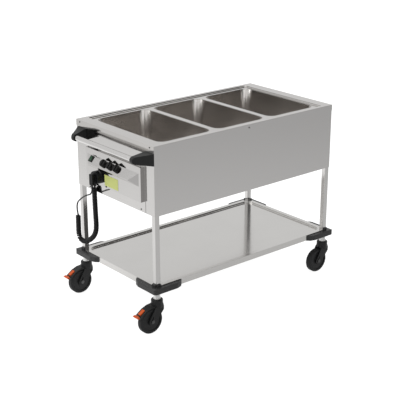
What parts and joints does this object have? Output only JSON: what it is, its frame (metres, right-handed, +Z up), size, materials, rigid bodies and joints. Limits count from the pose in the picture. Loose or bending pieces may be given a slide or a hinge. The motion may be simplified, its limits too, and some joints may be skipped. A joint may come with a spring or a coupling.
{
  "type": "heated serving trolley",
  "caption": "Stainless heated serving trolley: open wells for food pans, lower shelf, push handle, control box with knobs and coiled cord, on swivel casters with brakes.",
  "frame": {"origin": "on the floor, in the middle of the whole trolley's length and width", "axes": "+X along the trolley away from the push handle, +Y to the far long side, +Z up"},
  "size_m": [1.272, 0.659, 0.9],
  "materials": {
    "sheet_steel": "brushed stainless sheet",
    "bright_steel": "polished tube",
    "leg_steel": "brushed square tube",
    "well_steel": "deep drawn, soft sheen",
    "zinc_steel": "zinc plated",
    "screw_steel": "plain",
    "axle_steel": "dark plated",
    "heating_pad": "silicone rubber, matt",
    "dark_plastic": "grained",
    "bumper_grey": "grained",
    "fork_grey": "satin",
    "hub_grey": "satin",
    "tyre_grey": "smooth rubber",
    "pedal_orange": "satin",
    "knob_black": "satin",
    "thermostat_body": "moulded",
    "switch_black": "satin",
    "switch_green": "translucent look, satin",
    "plate_yellow": "flat film plate",
    "cup_black": "satin",
    "plug_black": "satin",
    "cord_rubber": "satin"
  },
  "bodies": {
    "trolley": {"deck": "sheet_steel", "side_panel_near": "sheet_steel", "side_panel_far": "sheet_steel", "end_panel_handle": "sheet_steel", "end_panel_plain": "sheet_steel", "service_panel": "sheet_steel", "base_panel": "sheet_steel", "shelf": "sheet_steel", "control_box": "sheet_steel", "well_1": "well_steel", "well_2": "well_steel", "well_3": "well_steel", "heating_pads": "heating_pad", "handle_bracket_near": "dark_plastic", "handle_bracket_far": "dark_plastic", "handle_bar": "bright_steel", "switch_frame": "switch_black", "bare_plate": "plate_yellow", "plug_holder": "cup_black", "cable_gland": "cord_rubber", "plug": "plug_black", "cord_tail": "cord_rubber", "cord_coil": "cord_rubber", "caster_stems": "zinc_steel", "panel_screws": "screw_steel", "thermostat_1": "thermostat_body", "thermostat_2": "thermostat_body", "thermostat_3": "thermostat_body", "leg_handle_near": "leg_steel", "bumper_handle_near": "bumper_grey", "leg_handle_far": "leg_steel", "bumper_handle_far": "bumper_grey", "leg_end_near": "leg_steel", "bumper_end_near": "bumper_grey", "leg_end_far": "leg_steel", "bumper_end_far": "bumper_grey"},
    "swivel_handle_near": {"caster_fork_handle_near": "fork_grey", "axle_handle_near": "axle_steel"},
    "wheel_handle_near": {"tyre_handle_near": "tyre_grey", "wheel_hub_handle_near": "hub_grey"},
    "pedal_handle_near": {"brake_pedal_handle_near": "pedal_orange"},
    "swivel_handle_far": {"caster_fork_handle_far": "fork_grey", "axle_handle_far": "axle_steel"},
    "wheel_handle_far": {"tyre_handle_far": "tyre_grey", "wheel_hub_handle_far": "hub_grey"},
    "pedal_handle_far": {"brake_pedal_handle_far": "pedal_orange"},
    "swivel_end_near": {"caster_fork_end_near": "fork_grey", "axle_end_near": "axle_steel"},
    "wheel_end_near": {"tyre_end_near": "tyre_grey", "wheel_hub_end_near": "hub_grey"},
    "swivel_end_far": {"caster_fork_end_far": "fork_grey", "axle_end_far": "axle_steel"},
    "wheel_end_far": {"tyre_end_far": "tyre_grey", "wheel_hub_end_far": "hub_grey"},
    "dial_1": {"knob_1": "knob_black"},
    "dial_2": {"knob_2": "knob_black"},
    "dial_3": {"knob_3": "knob_black"},
    "rocker": {"switch_rocker": "switch_green"}
  },
  "joints": [
    {"name": "swivel_handle_near_turn", "type": "hinge", "parent": "trolley", "child": "swivel_handle_near", "pos_m": [-0.507, -0.2905, 0.15], "axis": [0, 0, 1], "continuous": true},
    {"name": "wheel_handle_near_spin", "type": "hinge", "parent": "swivel_handle_near", "child": "wheel_handle_near", "pos_m": [-0.549, -0.2905, 0.0625], "axis": [0, 1, 0], "continuous": true},
    {"name": "pedal_handle_near_press", "type": "hinge", "parent": "swivel_handle_near", "child": "pedal_handle_near", "pos_m": [-0.599, -0.2905, 0.1115], "axis": [0, -1, 0], "range_deg": [0, 8]},
    {"name": "swivel_handle_far_turn", "type": "hinge", "parent": "trolley", "child": "swivel_handle_far", "pos_m": [-0.507, 0.2905, 0.15], "axis": [0, 0, 1], "continuous": true},
    {"name": "wheel_handle_far_spin", "type": "hinge", "parent": "swivel_handle_far", "child": "wheel_handle_far", "pos_m": [-0.549, 0.2905, 0.0625], "axis": [0, 1, 0], "continuous": true},
    {"name": "pedal_handle_far_press", "type": "hinge", "parent": "swivel_handle_far", "child": "pedal_handle_far", "pos_m": [-0.599, 0.2905, 0.1115], "axis": [0, -1, 0], "range_deg": [0, 8]},
    {"name": "swivel_end_near_turn", "type": "hinge", "parent": "trolley", "child": "swivel_end_near", "pos_m": [0.597, -0.2905, 0.15], "axis": [0, 0, 1], "continuous": true},
    {"name": "wheel_end_near_spin", "type": "hinge", "parent": "swivel_end_near", "child": "wheel_end_near", "pos_m": [0.555, -0.2905, 0.0625], "axis": [0, 1, 0], "continuous": true},
    {"name": "swivel_end_far_turn", "type": "hinge", "parent": "trolley", "child": "swivel_end_far", "pos_m": [0.597, 0.2905, 0.15], "axis": [0, 0, 1], "continuous": true},
    {"name": "wheel_end_far_spin", "type": "hinge", "parent": "swivel_end_far", "child": "wheel_end_far", "pos_m": [0.555, 0.2905, 0.0625], "axis": [0, 1, 0], "continuous": true},
    {"name": "knob_1_turn", "type": "hinge", "parent": "trolley", "child": "dial_1", "pos_m": [-0.55093, 0.0415, 0.74319], "axis": [-0.766, 0, 0.6428], "range_deg": [-270, 0]},
    {"name": "knob_2_turn", "type": "hinge", "parent": "trolley", "child": "dial_2", "pos_m": [-0.55093, -0.01, 0.74319], "axis": [-0.766, 0, 0.6428], "range_deg": [-270, 0]},
    {"name": "knob_3_turn", "type": "hinge", "parent": "trolley", "child": "dial_3", "pos_m": [-0.55093, -0.0615, 0.74319], "axis": [-0.766, 0, 0.6428], "range_deg": [-270, 0]},
    {"name": "switch_rock", "type": "hinge", "parent": "trolley", "child": "rocker", "pos_m": [-0.55284, 0.143, 0.74479], "axis": [0, -1, 0], "range_deg": [-16, 0]}
  ]
}
